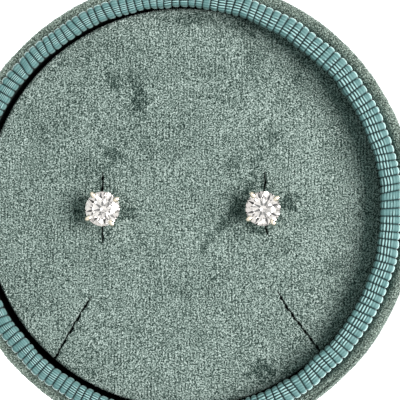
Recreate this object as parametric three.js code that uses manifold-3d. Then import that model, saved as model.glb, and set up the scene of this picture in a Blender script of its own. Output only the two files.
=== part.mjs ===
// A pair of four-prong stud earrings standing in the open base of a round velvet jewellery box.
// Millimetres, +Z up. The origin is the centre of the box's flat underside; +X runs from the left stud to the right one.
import * as THREE from "three";
import { mergeVertices } from "three/addons/utils/BufferGeometryUtils.js";
import Module from "manifold-3d";

const wasm = await Module();
wasm.setup();

// ---------------------------------------------------------------- driving dimensions
const ROUND_STEPS = 80; // segments round the box

const BASE = {
  outerR: 39.4, // velvet outside
  wall: 2.35, // padded card wall under velvet
  floor: 2.2,
  rimZ: 20.0, // crest of the rounded rim
  rimRise: 1.25, // height of the rounded crest
  footR: 1.3, // radius of the lower edge
};

const COLLAR = {
  outerR: 36.85, // ribbon on the outside of the ring
  lipInnerR: 33.85, // rolled ribbon edge, overhanging the inner wall
  wallInnerR: 34.75,
  footZ: 2.5,
  lipZ: 23.0, // underside of the overhang
  topZ: 26.0,
  crown: 1.0, // height of the rounded top
};

const PAD = {
  centre: [0.13, 0.32], // the insert sits a little off the middle of the box
  outerR: 33.7,
  skirtR: 31.7, // inside of the turned-down skirt
  footZ: 2.5,
  topZ: 21.3,
  thick: 3.0,
  edge: 0.8, // radius of the upper edge
  slitWidth: 0.36,
  postHoleR: 0.75,
};

// Slits in the insert, as points along each one (mm, in the plane of the insert).
const SLITS = [
  { name: "left_stud", path: [[-13.41, 5.82], [-13.55, 3.28], [-13.3, 0.21], [-13.51, -2.66], [-13.58, -5.54]] },
  { name: "right_stud", path: [[14.01, 6.26], [13.93, 3.32], [13.8, 0.32], [14.1, -2.85], [14.51, -4.53]] },
  { name: "left_chain", path: [[-15.55, -14.95], [-17.68, -18.24], [-19.71, -21.79], [-22.49, -26.75]] },
  { name: "right_chain", path: [[16.61, -14.64], [17.54, -16.33], [20.39, -20.18], [24.55, -25.61]] },
];

const STONE = {
  r: 2.9, // girdle radius
  table: 0.57, // table corner radius as a share of r
  crownDeg: 34.5,
  pavilionDeg: 40.75,
  star: 0.5, // star facet length
  lowerHalf: 0.77, // lower half facet length
  girdle: 0.17, // girdle thickness at its thick points
  girdleZ: 24.55, // underside of the girdle
  steps: 48,
};

const SETTING = {
  seatGap: 0.05, // between stone and metal
  baseZ: 21.5, // underside of the basket, on the velvet
  baseR: 0.85,
  baseThick: 0.5,
  wireR: 0.35, // prong wire
  railR: 1.95, // gallery rail, at mid height
  railZ: 23.3,
  railWireR: 0.26,
  tipR: 0.46,
  postR: 0.4,
  postEndZ: 11.2,
};

// Prong centre line: distance from the stud's axis and height.
const PRONG_PATH = [
  { r: 0.62, z: 21.72 },
  { r: 1.3, z: 22.45 },
  { r: 2.02, z: 23.3 },
  { r: 2.72, z: 24.15 },
  { r: 3.02, z: 24.62 },
  { r: 2.97, z: 25.0 },
];

const CLUTCH = { r: 2.5, boreR: 0.7, topZ: 18.0, height: 2.8, edge: 0.5 };

// Where the studs stand, and how far their prongs and facets are turned.
const STUDS = [
  { side: "left", at: [-13.19, 0.0], prongDeg: 33.6, facetDeg: 9 },
  { side: "right", at: [13.79, 0.02], prongDeg: 36.4, facetDeg: 17 },
];

// ---------------------------------------------------------------- solids
function solid(geometry) {
  const g = new THREE.BufferGeometry();
  const source = geometry.index ? geometry.toNonIndexed() : geometry;
  g.setAttribute("position", source.getAttribute("position"));
  const merged = mergeVertices(g, 1e-4);
  const index = merged.index.array;
  const tri = [];
  for (let i = 0; i < index.length; i += 3) {
    const [a, b, c] = [index[i], index[i + 1], index[i + 2]];
    if (a !== b && b !== c && c !== a) tri.push(a, b, c);
  }
  const make = (list) =>
    new wasm.Manifold(
      new wasm.Mesh({
        numProp: 3,
        vertProperties: merged.attributes.position.array,
        triVerts: new Uint32Array(list),
      }),
    );
  const made = make(tri);
  if (made.volume() >= 0) return made;
  for (let i = 0; i < tri.length; i += 3) [tri[i + 1], tri[i + 2]] = [tri[i + 2], tri[i + 1]];
  return make(tri);
}

function geometryOf(manifold) {
  const mesh = manifold.getMesh();
  const n = mesh.numProp;
  const positions = new Float32Array(mesh.numVert * 3);
  for (let i = 0; i < mesh.numVert; i++)
    positions.set(mesh.vertProperties.subarray(i * n, i * n + 3), i * 3);
  const g = new THREE.BufferGeometry();
  g.setAttribute("position", new THREE.BufferAttribute(positions, 3));
  g.setIndex(new THREE.BufferAttribute(new Uint32Array(mesh.triVerts), 1));
  g.computeVertexNormals();
  return g;
}

const union = (parts) => parts.reduce((a, b) => a.add(b));

// Part of an ellipse in the (r, z) plane, from one angle to another.
function arc(r, z, halfR, halfZ, fromDeg, toDeg, steps) {
  return Array.from({ length: steps + 1 }, (_, i) => {
    const a = THREE.MathUtils.degToRad(fromDeg + ((toDeg - fromDeg) * i) / steps);
    return [r + halfR * Math.cos(a), z + halfZ * Math.sin(a)];
  });
}

// A profile of (r, z) points turned about the Z axis; it closes on itself.
function turned(profile, steps = ROUND_STEPS) {
  const closed = [...profile, profile[0]].map(([r, z]) => new THREE.Vector2(r, z));
  return new THREE.LatheGeometry(closed, steps).rotateX(Math.PI / 2);
}

// ---------------------------------------------------------------- box base
function boxBase() {
  const { outerR, wall, floor, rimZ, rimRise, footR } = BASE;
  const innerR = outerR - wall;
  return solid(
    turned([
      [0, 0],
      ...arc(outerR - footR, footR, footR, footR, -90, 0, 3),
      ...arc(outerR - wall / 2, rimZ - rimRise, wall / 2, rimRise, 0, 180, 8),
      [innerR, floor],
      [0, floor],
    ]),
  );
}

// ---------------------------------------------------------------- collar
function collar() {
  const { outerR, lipInnerR, wallInnerR, footZ, lipZ, topZ, crown } = COLLAR;
  const mid = (outerR + lipInnerR) / 2;
  const half = (outerR - lipInnerR) / 2;
  return solid(
    turned([
      [outerR, footZ],
      ...arc(mid, topZ - crown, half, crown, 0, 180, 8),
      [lipInnerR, lipZ + 0.4],
      [lipInnerR + 0.2, lipZ],
      [wallInnerR, lipZ - 0.1],
      [wallInnerR, footZ],
    ]),
  );
}

// ---------------------------------------------------------------- pad
// A thin upright wall of the given width along a path, used to cut a slit.
function slitCutter(path, width, z0, z1) {
  const side = (sign) =>
    path.map(([x, y], i) => {
      const [ax, ay] = path[Math.max(i - 1, 0)];
      const [bx, by] = path[Math.min(i + 1, path.length - 1)];
      const len = Math.hypot(bx - ax, by - ay);
      return new THREE.Vector2(
        x - (sign * width * (by - ay)) / (2 * len),
        y + (sign * width * (bx - ax)) / (2 * len),
      );
    });
  const outline = [...side(1), ...side(-1).reverse()];
  const g = new THREE.ExtrudeGeometry(new THREE.Shape(outline), {
    depth: z1 - z0,
    bevelEnabled: false,
  });
  return solid(g.translate(0, 0, z0));
}

function pad() {
  const { centre, outerR, skirtR, footZ, topZ, thick, edge, slitWidth, postHoleR } = PAD;
  let body = solid(
    turned([
      [0, topZ],
      [0, topZ - thick],
      [skirtR, topZ - thick],
      [skirtR, footZ],
      [outerR, footZ],
      ...arc(outerR - edge, topZ - edge, edge, edge, 0, 90, 3),
    ]).translate(centre[0], centre[1], 0),
  );
  for (const { path } of SLITS)
    body = body.subtract(slitCutter(path, slitWidth, topZ - thick - 1, topZ + 1));
  for (const { at } of STUDS) {
    const hole = new THREE.CylinderGeometry(postHoleR, postHoleR, thick + 2, 20)
      .rotateX(Math.PI / 2)
      .translate(at[0], at[1], topZ - thick / 2);
    body = body.subtract(solid(hole));
  }
  return body;
}

// ---------------------------------------------------------------- stones
// A round brilliant about the Z axis, its girdle's underside at z = 0, cut from a disc by the flat planes of its facets.
// grow moves every face outwards, which gives the seat that the metal is cut to.
function brilliant(grow = 0) {
  const { r, table, crownDeg, pavilionDeg, star, lowerHalf, girdle, steps } = STONE;
  const tanCrown = Math.tan(THREE.MathUtils.degToRad(crownDeg));
  const tanPavilion = Math.tan(THREE.MathUtils.degToRad(pavilionDeg));
  const half = Math.PI / 8; // between a main facet and the half facet beside it
  const crownH = (1 - table) * r * tanCrown;
  const at = (rho, a, z) => new THREE.Vector3(rho * Math.cos(a), rho * Math.sin(a), z);
  const tableMid = table * r * Math.cos(half);
  const starR = tableMid + star * (r - tableMid);
  const starZ = girdle + crownH - (starR * Math.cos(half) - table * r) * tanCrown;
  const lowR = (1 - lowerHalf) * r;
  const lowZ = -(r - lowR * Math.cos(half)) * tanPavilion;

  const planes = [[at(0, 0, girdle + crownH), new THREE.Vector3(0, 0, 1)]];
  const through = (a, b, c) => {
    const n = new THREE.Vector3().crossVectors(b.clone().sub(a), c.clone().sub(a)).normalize();
    if (n.dot(a.clone().sub(new THREE.Vector3(0, 0, girdle / 2))) < 0) n.negate();
    planes.push([a, n]);
  };
  for (let i = 0; i < 8; i++) {
    const a = i * 2 * half;
    const crownN = new THREE.Vector3(Math.cos(a) * tanCrown, Math.sin(a) * tanCrown, 1).normalize();
    planes.push([at(r, a, girdle), crownN]); // kite
    const lowN = new THREE.Vector3(Math.cos(a) * tanPavilion, Math.sin(a) * tanPavilion, -1).normalize();
    planes.push([at(r, a, 0), lowN]); // pavilion main
    through(at(table * r, a, girdle + crownH), at(table * r, a + 2 * half, girdle + crownH), at(starR, a + half, starZ)); // star
    for (const side of [-1, 1]) {
      through(at(starR, a + side * half, starZ), at(r, a, girdle), at(r, a + side * half, girdle)); // upper half
      through(at(lowR, a + side * half, lowZ), at(r, a, 0), at(r, a + side * half, 0)); // lower half
    }
  }
  const height = 2 * r;
  let stone = solid(
    new THREE.CylinderGeometry(r + grow, r + grow, height, steps).rotateX(Math.PI / 2),
  );
  for (const [point, normal] of planes) {
    const box = new THREE.BoxGeometry(6 * r, 6 * r, 6 * r);
    box.translate(0, 0, -3 * r + grow);
    box.applyQuaternion(
      new THREE.Quaternion().setFromUnitVectors(new THREE.Vector3(0, 0, 1), normal),
    );
    box.translate(point.x, point.y, point.z);
    stone = stone.intersect(solid(box));
  }
  return stone;
}

// ---------------------------------------------------------------- settings
function wire(points, radius, sides, steps) {
  const route = new THREE.CatmullRomCurve3(points, false, "centripetal");
  const section = new THREE.Shape(
    Array.from({ length: sides }, (_, i) => {
      const a = (2 * Math.PI * i) / sides;
      return new THREE.Vector2(radius * Math.cos(a), radius * Math.sin(a));
    }),
  );
  return solid(
    new THREE.ExtrudeGeometry(section, { steps, bevelEnabled: false, extrudePath: route }),
  );
}

// Basket, prongs and post, soldered into one solid, about the stud's own axis.
function setting({ prongDeg, facetDeg }) {
  const { seatGap, baseZ, baseR, baseThick, wireR, railR, railZ, railWireR, tipR, postR, postEndZ } = SETTING;
  const parts = [
    solid(turned([[0, baseZ], [baseR - 0.1, baseZ], [baseR, baseZ + 0.12], [baseR, baseZ + baseThick], [0, baseZ + baseThick]], 16)),
    solid(new THREE.TorusGeometry(railR, railWireR, 8, 24).translate(0, 0, railZ)),
    solid(turned([[0, postEndZ], [postR * 0.6, postEndZ + 0.08], [postR, postEndZ + 0.4], [postR, baseZ + 0.2], [0, baseZ + 0.2]], 12)),
  ];
  for (let i = 0; i < 4; i++) {
    const a = THREE.MathUtils.degToRad(prongDeg + 90 * i);
    parts.push(
      wire(PRONG_PATH.map(({ r, z }) => new THREE.Vector3(r * Math.cos(a), r * Math.sin(a), z)), wireR, 8, 8),
    );
    const end = PRONG_PATH[PRONG_PATH.length - 1];
    const tip = new THREE.SphereGeometry(tipR, 12, 8)
      .scale(1.1, 0.95, 0.85)
      .rotateZ(a)
      .translate((end.r - 0.03) * Math.cos(a), (end.r - 0.03) * Math.sin(a), end.z + 0.02);
    parts.push(solid(tip));
  }
  const seat = brilliant(seatGap)
    .rotate([0, 0, facetDeg])
    .translate([0, 0, STONE.girdleZ]);
  return union(parts).subtract(seat);
}

function clutch() {
  const { r, boreR, topZ, height, edge } = CLUTCH;
  const lowZ = topZ - height;
  return solid(
    turned([[boreR, lowZ], [r - edge, lowZ], [r, lowZ + edge], [r, topZ - edge], [r - edge, topZ], [boreR, topZ]], 24),
  );
}

// ---------------------------------------------------------------- the assembly
const velvet = (color) => new THREE.MeshStandardMaterial({ color, roughness: 0.95, metalness: 0 });
const ribbon = () => new THREE.MeshStandardMaterial({ color: 0x7fb3b1, roughness: 0.55, metalness: 0 });
const gold = () => new THREE.MeshStandardMaterial({ color: 0xd9c896, roughness: 0.22, metalness: 1 });
const gem = () => new THREE.MeshStandardMaterial({ color: 0xf4f2ee, roughness: 0.02, metalness: 0 });

function piece(name, manifold, material, position = [0, 0, 0]) {
  const mesh = new THREE.Mesh(geometryOf(manifold), material);
  mesh.name = name;
  mesh.position.set(...position);
  return mesh;
}

const assembly = new THREE.Group();
assembly.name = "stud_earrings_in_box";

const box = new THREE.Group();
box.add(piece("box_base", boxBase(), velvet(0x788778)));
box.add(piece("collar", collar(), ribbon()));
box.add(piece("pad", pad(), velvet(0x82968a)));
assembly.add(box);

for (const stud of STUDS) {
  const group = new THREE.Group();
  group.position.set(stud.at[0], stud.at[1], 0);
  group.add(piece(`stud_${stud.side}_setting`, setting(stud), gold()));
  group.add(
    piece(`stud_${stud.side}_stone`, brilliant().rotate([0, 0, stud.facetDeg]), gem(), [0, 0, STONE.girdleZ]),
  );
  group.add(piece(`clutch_${stud.side}`, clutch(), gold()));
  assembly.add(group);
}

export default assembly;
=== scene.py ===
"""Looks for the stud earrings standing in the open base of a round velvet jewellery box.

Lengths below are in millimetres in the CAD frame, and meshes are written in metres.
"""

import math

import bmesh
import bpy
import numpy as np
from mathutils import Matrix, Vector


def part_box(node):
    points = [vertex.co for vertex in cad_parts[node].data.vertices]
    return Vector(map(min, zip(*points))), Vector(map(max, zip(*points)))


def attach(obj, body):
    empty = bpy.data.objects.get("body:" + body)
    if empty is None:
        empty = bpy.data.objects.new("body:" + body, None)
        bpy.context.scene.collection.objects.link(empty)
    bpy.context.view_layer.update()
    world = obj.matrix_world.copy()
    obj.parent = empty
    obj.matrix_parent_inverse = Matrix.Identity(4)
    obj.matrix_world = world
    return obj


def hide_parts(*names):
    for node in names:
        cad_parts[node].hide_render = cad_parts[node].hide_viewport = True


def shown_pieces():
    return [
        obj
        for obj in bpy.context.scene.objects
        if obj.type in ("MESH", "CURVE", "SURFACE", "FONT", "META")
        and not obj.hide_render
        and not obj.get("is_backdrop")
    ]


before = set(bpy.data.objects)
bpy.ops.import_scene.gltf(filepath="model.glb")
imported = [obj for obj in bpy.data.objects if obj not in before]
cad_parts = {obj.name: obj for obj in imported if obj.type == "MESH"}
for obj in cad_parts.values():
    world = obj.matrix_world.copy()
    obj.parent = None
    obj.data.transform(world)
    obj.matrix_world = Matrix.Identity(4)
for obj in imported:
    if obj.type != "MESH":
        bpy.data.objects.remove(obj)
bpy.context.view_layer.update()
scene = bpy.context.scene
scene.view_settings.view_transform = "Standard"
scene.view_settings.look = "None"

MM = 0.001
TAU = 2 * math.pi


def mm_box(node):
    lo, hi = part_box(node)
    return np.array(lo) / MM, np.array(hi) / MM


# ------------------------------------------------------------------ sizes, read from the frame
base_lo, base_hi = mm_box("box_base")
collar_lo, collar_hi = mm_box("collar")
pad_lo, pad_hi = mm_box("pad")

BASE_R = base_hi[0]
BASE_WALL = 2.35
BASE_RIM = base_hi[2]
RIM_RISE = 1.25
FOOT_R = 1.3
FLOOR = 2.2

COLLAR_R = collar_hi[0]
LIP_R = 33.85
COLLAR_TOP = collar_hi[2]
COLLAR_FOOT = collar_lo[2]
CROWN = 1.0
LIP_Z = 23.0
COLLAR_WALL_R = 34.75

PAD_C = np.array([(pad_lo[0] + pad_hi[0]) / 2, (pad_lo[1] + pad_hi[1]) / 2])
PAD_R = (pad_hi[0] - pad_lo[0]) / 2 + 0.1
PAD_TOP = pad_hi[2]
PAD_FOOT = pad_lo[2]
PAD_EDGE = 0.5
PAD_THICK = 3.0
PAD_SKIRT_R = 31.7

RIBS = 170

# The slits, as in the CAD, with how far each half of the cut stands open and which lip curls up.
SLITS = [
    {"name": "left_stud", "open": 0.17, "lift": (0.16, 0.05), "path": [(-13.45, 6.2), (-13.55, 3.28), (-13.3, 0.21), (-13.51, -2.66), (-13.58, -5.54)]},
    {"name": "right_stud", "open": 0.17, "lift": (0.05, 0.18), "path": [(14.01, 6.26), (13.93, 3.32), (13.8, 0.32), (14.1, -2.85), (14.51, -4.53)]},
    {"name": "left_chain", "open": 0.18, "lift": (0.03, 0.14), "path": [(-15.55, -14.95), (-17.68, -18.24), (-19.71, -21.79), (-22.49, -26.75)]},
    {"name": "right_chain", "open": 0.19, "lift": (0.2, 0.03), "path": [(16.3, -14.1), (16.61, -14.64), (17.54, -16.33), (20.39, -20.18), (24.55, -25.61)]},
]

# Dark patches on the pad, each with place, half sizes, turn and strength: where the nap is brushed the other way and
# looks darker, and painted shade for the shadows round the studs, the collar's shadow along the rim and the dark
# creases beside the studs.
NAP_AND_SHADE = [
    {"x": -11.8, "y": 21.8, "rx": 1.6, "ry": 1.4, "deg": 0, "dark": 0.42},
    {"x": -10.6, "y": 20.3, "rx": 1.2, "ry": 0.9, "deg": -30, "dark": 0.28},
    {"x": -7.1, "y": 18.1, "rx": 1.3, "ry": 2.1, "deg": 0, "dark": 0.75},
    {"x": -7.8, "y": 21.2, "rx": 1.0, "ry": 2.2, "deg": 22, "dark": 0.5},
    {"x": -11.7, "y": 9.3, "rx": 1.7, "ry": 0.9, "deg": -12, "dark": 0.66},
    {"x": -13.8, "y": 10.5, "rx": 1.5, "ry": 0.5, "deg": -38, "dark": 0.3},
    {"x": -15.0, "y": 7.2, "rx": 4.0, "ry": 2.8, "deg": 0, "dark": 0.2},
    {"x": -12.2, "y": 7.3, "rx": 1.0, "ry": 1.8, "deg": -20, "dark": 0.22},
    # painted shade where the left stud's shadow falls, over the nap
    {"x": -17.4, "y": 1.2, "rx": 1.5, "ry": 1.8, "deg": 10, "dark": 0.12},
    {"x": -17.4, "y": -2.2, "rx": 1.7, "ry": 1.4, "deg": 0, "dark": 0.12},
    {"x": -13.4, "y": 3.8, "rx": 0.8, "ry": 1.4, "deg": 0, "dark": 0.5},
    # painted shadow: a dark disc round each stud's basket and stone
    {"x": -12.8, "y": -0.1, "rx": 2.9, "ry": 2.9, "deg": 0, "dark": 0.4},
    {"x": 14.3, "y": 0.1, "rx": 2.9, "ry": 2.9, "deg": 0, "dark": 0.55},
    # dark creases and patches beside the studs, deepened with painted shade where the studs' shadows fall
    {"x": -8.9, "y": -0.2, "rx": 1.5, "ry": 0.22, "deg": 4, "dark": 0.75},
    {"x": -9.3, "y": -1.2, "rx": 1.0, "ry": 0.2, "deg": -24, "dark": 0.7},
    {"x": -11.6, "y": 3.4, "rx": 1.4, "ry": 0.16, "deg": -14, "dark": 0.5},
    {"x": -10.9, "y": 2.8, "rx": 1.3, "ry": 0.16, "deg": -24, "dark": 0.45},
    {"x": -17.2, "y": -0.6, "rx": 1.2, "ry": 0.22, "deg": -26, "dark": 0.7},
    {"x": -16.6, "y": 1.5, "rx": 1.0, "ry": 0.2, "deg": 20, "dark": 0.5},
    {"x": -9.6, "y": 1.1, "rx": 1.1, "ry": 0.18, "deg": 12, "dark": 0.45},
    {"x": 18.4, "y": 2.2, "rx": 1.3, "ry": 0.5, "deg": -8, "dark": 0.55},
    {"x": 18.2, "y": 0.2, "rx": 1.4, "ry": 0.3, "deg": -14, "dark": 0.65},
    {"x": 17.6, "y": 3.6, "rx": 1.2, "ry": 0.2, "deg": 18, "dark": 0.45},
    {"x": 9.4, "y": 1.6, "rx": 1.3, "ry": 0.3, "deg": -30, "dark": 0.6},
    {"x": 10.0, "y": -0.6, "rx": 1.2, "ry": 0.25, "deg": 16, "dark": 0.6},
    {"x": 15.6, "y": 3.9, "rx": 1.3, "ry": 0.2, "deg": -20, "dark": 0.5},
    {"x": -8.6, "y": -1.0, "rx": 1.9, "ry": 1.5, "deg": -20, "dark": 0.4},
    {"x": -13.3, "y": -4.4, "rx": 0.9, "ry": 1.4, "deg": 0, "dark": 0.35},
    {"x": 9.8, "y": 0.8, "rx": 1.9, "ry": 2.4, "deg": 0, "dark": 0.22},
    {"x": 11.6, "y": 3.6, "rx": 1.8, "ry": 1.2, "deg": 30, "dark": 0.55},
    {"x": 14.1, "y": 4.4, "rx": 1.1, "ry": 1.9, "deg": 0, "dark": 0.42},
    {"x": 18.1, "y": 0.7, "rx": 1.5, "ry": 1.7, "deg": 0, "dark": 0.55},
    {"x": 12.7, "y": -3.5, "rx": 1.9, "ry": 0.8, "deg": -25, "dark": 0.6},
    {"x": 7.4, "y": -2.4, "rx": 3.3, "ry": 0.95, "deg": 44, "dark": 0.52},
    {"x": 4.1, "y": -6.0, "rx": 0.7, "ry": 2.1, "deg": -16, "dark": 0.4},
    {"x": 8.5, "y": 7.6, "rx": 1.2, "ry": 1.2, "deg": 0, "dark": 0.42},
    {"x": 12.5, "y": 7.4, "rx": 0.9, "ry": 2.6, "deg": -20, "dark": 0.28},
    {"x": 15.4, "y": 12.2, "rx": 1.1, "ry": 1.9, "deg": 0, "dark": 0.34},
    {"x": 12.0, "y": 25.3, "rx": 1.9, "ry": 2.6, "deg": 0, "dark": 0.24},
    {"x": 7.0, "y": 18.6, "rx": 2.0, "ry": 1.8, "deg": 0, "dark": 0.15},
    {"x": -2.6, "y": 9.2, "rx": 2.4, "ry": 1.8, "deg": 0, "dark": 0.16},
    {"x": -6.2, "y": 10.2, "rx": 1.2, "ry": 1.6, "deg": 0, "dark": 0.16},
    {"x": 24.6, "y": 3.4, "rx": 1.3, "ry": 0.9, "deg": 20, "dark": 0.26},
    {"x": 21.8, "y": -1.8, "rx": 1.5, "ry": 1.0, "deg": 0, "dark": 0.26},
    {"x": 17.6, "y": -6.6, "rx": 2.6, "ry": 1.2, "deg": 10, "dark": 0.22},
    {"x": -0.8, "y": -13.6, "rx": 2.6, "ry": 1.4, "deg": -8, "dark": 0.24},
    # painted shadow of the collar on the pad along its rim
    {"x": 19.8, "y": 22.4, "rx": 1.2, "ry": 2.6, "deg": 0, "dark": 0.32},
    {"x": 2.0, "y": 31.9, "rx": 4.5, "ry": 1.0, "deg": 0, "dark": 0.38},
    {"x": 10.5, "y": 30.6, "rx": 3.0, "ry": 1.2, "deg": -20, "dark": 0.34},
    {"x": 13.6, "y": -27.2, "rx": 2.4, "ry": 1.7, "deg": 0, "dark": 0.8},
    {"x": -8.0, "y": -21.2, "rx": 1.4, "ry": 2.0, "deg": 0, "dark": 0.14},
    {"x": 3.5, "y": -22.0, "rx": 3.2, "ry": 2.0, "deg": 30, "dark": 0.12},
    {"x": 25.5, "y": -9.5, "rx": 2.0, "ry": 1.5, "deg": 40, "dark": 0.2},
    {"x": -24.5, "y": -15.0, "rx": 1.8, "ry": 1.0, "deg": 20, "dark": 0.14},
    {"x": -22.0, "y": 14.0, "rx": 3.5, "ry": 2.0, "deg": 40, "dark": 0.1},
    {"x": 3.0, "y": 3.5, "rx": 3.0, "ry": 1.6, "deg": 25, "dark": 0.1},
]


# ------------------------------------------------------------------ mesh helpers
def mesh_object(name, verts, faces, smooth=True, unit=MM):
    """An object from vertices in mm and one array of triangles or quads."""
    verts = np.asarray(verts, np.float64) * unit
    faces = np.asarray(faces, np.int32)
    sides = faces.shape[1]
    me = bpy.data.meshes.new(name)
    me.vertices.add(len(verts))
    me.vertices.foreach_set("co", verts.astype(np.float32).ravel())
    me.loops.add(faces.size)
    me.loops.foreach_set("vertex_index", faces.ravel())
    me.polygons.add(len(faces))
    me.polygons.foreach_set("loop_start", np.arange(len(faces), dtype=np.int32) * sides)
    me.polygons.foreach_set("use_smooth", np.full(len(faces), smooth))
    me.update(calc_edges=True)
    me.validate()
    ob = bpy.data.objects.new(name, me)
    scene.collection.objects.link(ob)
    return ob


def attribute(ob, name, values):
    a = ob.data.attributes.new(name, "FLOAT", "POINT")
    a.data.foreach_set("value", np.asarray(values, np.float32))


def ring_faces(rows, cols):
    """Quads between the rows of a lattice that closes round in its columns; facing out when rows go up the outside."""
    i = np.arange(rows - 1)[:, None] * cols
    j = np.arange(cols)[None, :]
    k = (j + 1) % cols
    return np.stack([i + j, i + k, i + cols + k, i + cols + j], -1).reshape(-1, 4)


def band_noise(shape, step, wave, spread, seed):
    """Tileable noise about one wavelength in mm, with a standard deviation of 1."""
    rng = np.random.default_rng(seed)
    fx = np.fft.fftfreq(shape[0], step)[:, None]
    fy = np.fft.fftfreq(shape[1], step)[None, :]
    f = np.hypot(fx, fy)
    f[0, 0] = 1e-9
    gain = np.exp(-0.5 * (np.log(f * wave) / spread) ** 2)
    out = np.fft.ifft2(np.fft.fft2(rng.standard_normal(shape)) * gain).real
    return out / out.std()


def sample(field, u, v):
    """Bilinear, wrapping, at fractional indices."""
    u0 = np.floor(u).astype(int)
    v0 = np.floor(v).astype(int)
    fu, fv = u - u0, v - v0
    nu, nv = field.shape
    a, b = u0 % nu, (u0 + 1) % nu
    c, d = v0 % nv, (v0 + 1) % nv
    return (field[a, c] * (1 - fu) + field[b, c] * fu) * (1 - fv) + (field[a, d] * (1 - fu) + field[b, d] * fu) * fv


def smoothstep(a, b, x):
    t = np.clip((x - a) / (b - a), 0, 1)
    return t * t * (3 - 2 * t)


def spline(points, steps):
    """Catmull-Rom through 2-D points."""
    p = np.array(points, float)
    p = np.vstack([2 * p[0] - p[1], p, 2 * p[-1] - p[-2]])
    out = []
    for i in range(1, len(p) - 2):
        t = np.linspace(0, 1, steps, endpoint=False)[:, None]
        out.append(
            0.5 * ((2 * p[i]) + (p[i + 1] - p[i - 1]) * t + (2 * p[i - 1] - 5 * p[i] + 4 * p[i + 1] - p[i + 2]) * t**2 + (3 * p[i] - p[i - 1] - 3 * p[i + 1] + p[i + 2]) * t**3)
        )
    return np.vstack([*out, p[-2:-1]])


# ------------------------------------------------------------------ node helpers
class Nodes:
    """A little shorthand for building a material's nodes."""

    def __init__(self, name):
        self.mat = bpy.data.materials.new(name)
        self.mat.use_nodes = True
        self.nt = self.mat.node_tree
        self.nt.nodes.clear()
        self.out = self.nt.nodes.new("ShaderNodeOutputMaterial")

    def new(self, kind, **props):
        n = self.nt.nodes.new(kind)
        for k, v in props.items():
            setattr(n, k, v)
        return n

    def put(self, value, socket):
        if hasattr(value, "is_output") or isinstance(value, bpy.types.NodeSocket):
            self.nt.links.new(value, socket)
        else:
            socket.default_value = value

    def math(self, op, a, b=None, c=None, clamp=False):
        n = self.new("ShaderNodeMath", operation=op, use_clamp=clamp)
        self.put(a, n.inputs[0])
        if b is not None:
            self.put(b, n.inputs[1])
        if c is not None:
            self.put(c, n.inputs[2])
        return n.outputs[0]

    def step(self, value, a, b):
        n = self.new("ShaderNodeMapRange", interpolation_type="SMOOTHSTEP")
        self.put(value, n.inputs[0])
        n.inputs[1].default_value, n.inputs[2].default_value = a, b
        return n.outputs[0]

    def mix(self, factor, a, b, blend="MIX"):
        n = self.new("ShaderNodeMix", data_type="RGBA", blend_type=blend)
        self.put(factor, n.inputs["Factor"])
        self.put(a, n.inputs[6])
        self.put(b, n.inputs[7])
        return n.outputs[2]

    def attr(self, name):
        return self.new("ShaderNodeAttribute", attribute_name=name).outputs["Fac"]

    def noise(self, vector, scale, detail=2.0, rough=0.5, dims="3D"):
        n = self.new("ShaderNodeTexNoise", noise_dimensions=dims)
        self.put(vector, n.inputs["Vector"])
        n.inputs["Scale"].default_value = scale
        n.inputs["Detail"].default_value = detail
        n.inputs["Roughness"].default_value = rough
        return n.outputs["Fac"]

    def object_mm(self):
        """Object coordinates in mm."""
        m = self.new("ShaderNodeVectorMath", operation="SCALE")
        self.nt.links.new(self.new("ShaderNodeTexCoord").outputs["Object"], m.inputs[0])
        m.inputs["Scale"].default_value = 1000.0
        return m.outputs[0]

    def ramp(self, value, stops):
        n = self.new("ShaderNodeValToRGB")
        self.put(value, n.inputs[0])
        e = n.color_ramp.elements
        while len(e) < len(stops):
            e.new(0.5)
        for el, (pos, col) in zip(e, stops):
            el.position = pos
            el.color = (*col, 1.0)
        return n.outputs[0]

    def bump(self, height, distance, strength=1.0, normal=None):
        n = self.new("ShaderNodeBump")
        n.inputs["Strength"].default_value = strength
        n.inputs["Distance"].default_value = distance
        self.put(height, n.inputs["Height"])
        if normal is not None:
            self.put(normal, n.inputs["Normal"])
        return n.outputs[0]

    def principled(self, color, rough, normal=None, **values):
        n = self.new("ShaderNodeBsdfPrincipled")
        self.put(color, n.inputs["Base Color"])
        self.put(rough, n.inputs["Roughness"])
        if normal is not None:
            self.put(normal, n.inputs["Normal"])
        for k, v in values.items():
            n.inputs[k.replace("_", " ")].default_value = v
        self.nt.links.new(n.outputs[0], self.out.inputs["Surface"])
        return n


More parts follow.
